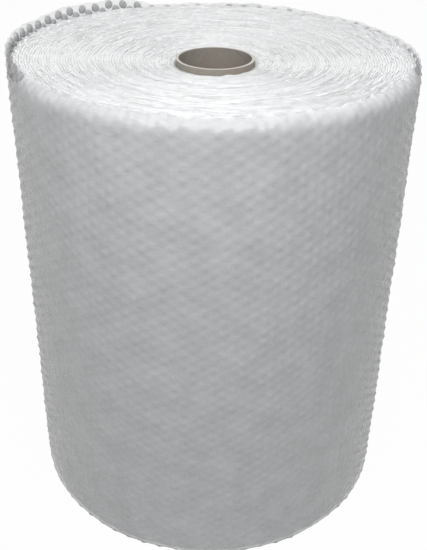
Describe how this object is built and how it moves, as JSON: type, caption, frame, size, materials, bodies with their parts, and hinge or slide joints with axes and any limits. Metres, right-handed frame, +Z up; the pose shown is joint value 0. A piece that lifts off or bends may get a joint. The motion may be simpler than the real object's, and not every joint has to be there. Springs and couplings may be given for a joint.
{
  "type": "bubble wrap roll",
  "caption": "Roll of clear air-bubble wrap wound on a card core tube, standing on its end, with a round bore through the core.",
  "frame": {"origin": "on the roll's axis, in the plane that the roll stands on", "axes": "+Z up along the roll's axis, towards the dished end; +X towards the right and +Y towards the back, where the film's free end lies"},
  "size_m": [0.4178, 0.4189, 0.507],
  "materials": {
    "film": "translucent polythene film, soft gloss",
    "card": "matt grey-brown wound card"
  },
  "bodies": {
    "root": {"bubble_wrap": "film", "core_tube": "card"}
  },
  "joints": []
}
